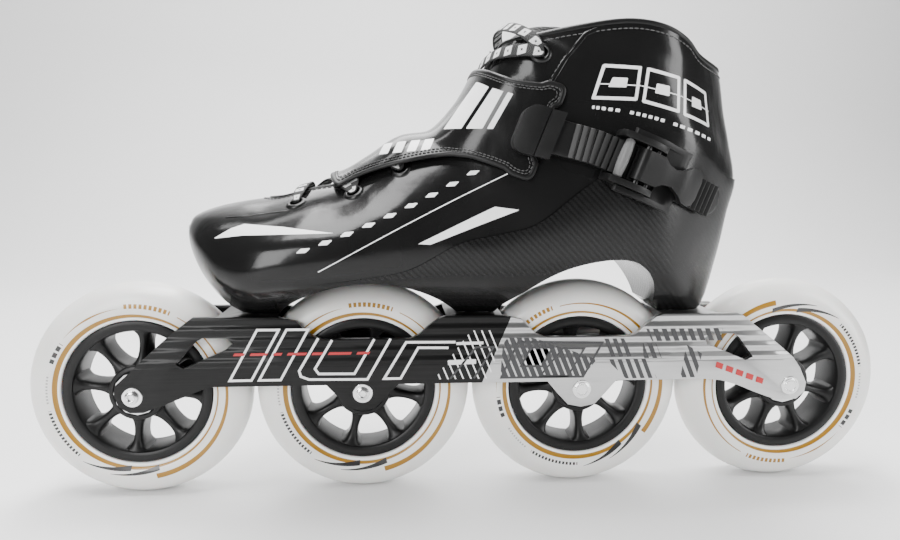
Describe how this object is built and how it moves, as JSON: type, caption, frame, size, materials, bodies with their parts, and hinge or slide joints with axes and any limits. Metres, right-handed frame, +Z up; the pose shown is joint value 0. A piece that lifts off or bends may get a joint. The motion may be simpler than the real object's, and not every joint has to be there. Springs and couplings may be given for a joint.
{
  "type": "inline speed skate",
  "caption": "Low-cut inline speed skate: stiff hull and laced upper on a long frame with big wheels in a row, instep band with ratchet buckle.",
  "frame": {"origin": "on the ground line, under the middle of the wheelbase, in the wheels' mid-plane", "axes": "+Z up, toe towards -X, heel towards +X, buckle side (outside of a left foot) towards -Y"},
  "size_m": [0.446, 0.1086, 0.2371],
  "materials": {
    "tyre": "satin polyurethane, off-white",
    "hub": "satin moulded nylon, black",
    "steel": "plain steel",
    "axle": "bright turned",
    "eyelet": "dark nickel",
    "frame": "anodised, black at the toe end fading to silver",
    "carbon": "woven carbon under satin resin",
    "patent": "black patent, high gloss",
    "lining": "black padded lining",
    "lace": "flat woven lace",
    "buckle": "satin black nylon",
    "bar": "satin grey"
  },
  "bodies": {
    "skate": {"frame": "frame", "mount_bolt_front": "steel", "mount_bolt_middle": "steel", "mount_bolt_rear": "steel", "boot_insert_front": "steel", "boot_insert_middle": "steel", "boot_insert_rear": "steel", "carbon_shell": "carbon", "upper": "patent", "insole": "lining", "tongue": "lining", "collar_pad": "lining", "lace": "lace", "instep_strap": "patent", "buckle_base": "buckle", "lever_pin": "steel", "release_pin": "steel", "strap_bar": "bar", "release_spring": "steel", "buckle_mount": "buckle", "buckle_screw": "steel", "buckle_nut": "steel", "eyelet_outer_1": "eyelet", "eyelet_inner_1": "eyelet", "eyelet_outer_2": "eyelet", "eyelet_inner_2": "eyelet", "eyelet_outer_3": "eyelet", "eyelet_inner_3": "eyelet", "eyelet_outer_4": "eyelet", "eyelet_inner_4": "eyelet", "axle_bolt_1": "axle", "axle_bolt_2": "axle", "axle_bolt_3": "axle", "axle_bolt_4": "axle", "bearing_spacer_1": "steel", "bearing_spacer_2": "steel", "bearing_spacer_3": "steel", "bearing_spacer_4": "steel"},
    "wheel_1": {"tyre_1": "tyre", "hub_1": "hub", "bearing_1_outer": "steel", "bearing_1_inner": "steel"},
    "wheel_2": {"tyre_2": "tyre", "hub_2": "hub", "bearing_2_outer": "steel", "bearing_2_inner": "steel"},
    "wheel_3": {"tyre_3": "tyre", "hub_3": "hub", "bearing_3_outer": "steel", "bearing_3_inner": "steel"},
    "wheel_4": {"tyre_4": "tyre", "hub_4": "hub", "bearing_4_outer": "steel", "bearing_4_inner": "steel"},
    "strap_end": {"ladder_strap": "buckle", "strap_end_cap": "buckle", "strap_sleeve": "buckle"},
    "lever": {"buckle_lever": "buckle"},
    "release": {"buckle_release": "buckle"}
  },
  "joints": [
    {"name": "wheel_1_spin", "type": "hinge", "parent": "skate", "child": "wheel_1", "pos_m": [-0.168, 0, 0.055], "axis": [0, 1, 0], "continuous": true},
    {"name": "wheel_2_spin", "type": "hinge", "parent": "skate", "child": "wheel_2", "pos_m": [-0.056, 0, 0.055], "axis": [0, 1, 0], "continuous": true},
    {"name": "wheel_3_spin", "type": "hinge", "parent": "skate", "child": "wheel_3", "pos_m": [0.056, 0, 0.055], "axis": [0, 1, 0], "continuous": true},
    {"name": "wheel_4_spin", "type": "hinge", "parent": "skate", "child": "wheel_4", "pos_m": [0.168, 0, 0.055], "axis": [0, 1, 0], "continuous": true},
    {"name": "strap_travel", "type": "hinge", "parent": "skate", "child": "strap_end", "pos_m": [0.0435, 0.102, 0.1785], "axis": [0.3584, 0, 0.9336], "range_deg": [-3, 2.4]},
    {"name": "buckle_lever_open", "type": "hinge", "parent": "skate", "child": "lever", "pos_m": [0.06939, -0.05279, 0.16856], "axis": [-0.3584, 0, -0.9336], "range_deg": [0, 70]},
    {"name": "buckle_release_press", "type": "hinge", "parent": "skate", "child": "release", "pos_m": [0.075, -0.04974, 0.16641], "axis": [-0.3584, 0, -0.9336], "range_deg": [0, 6], "stiffness_Nm_per_rad": 0.05, "springref_deg": -8.59}
  ]
}
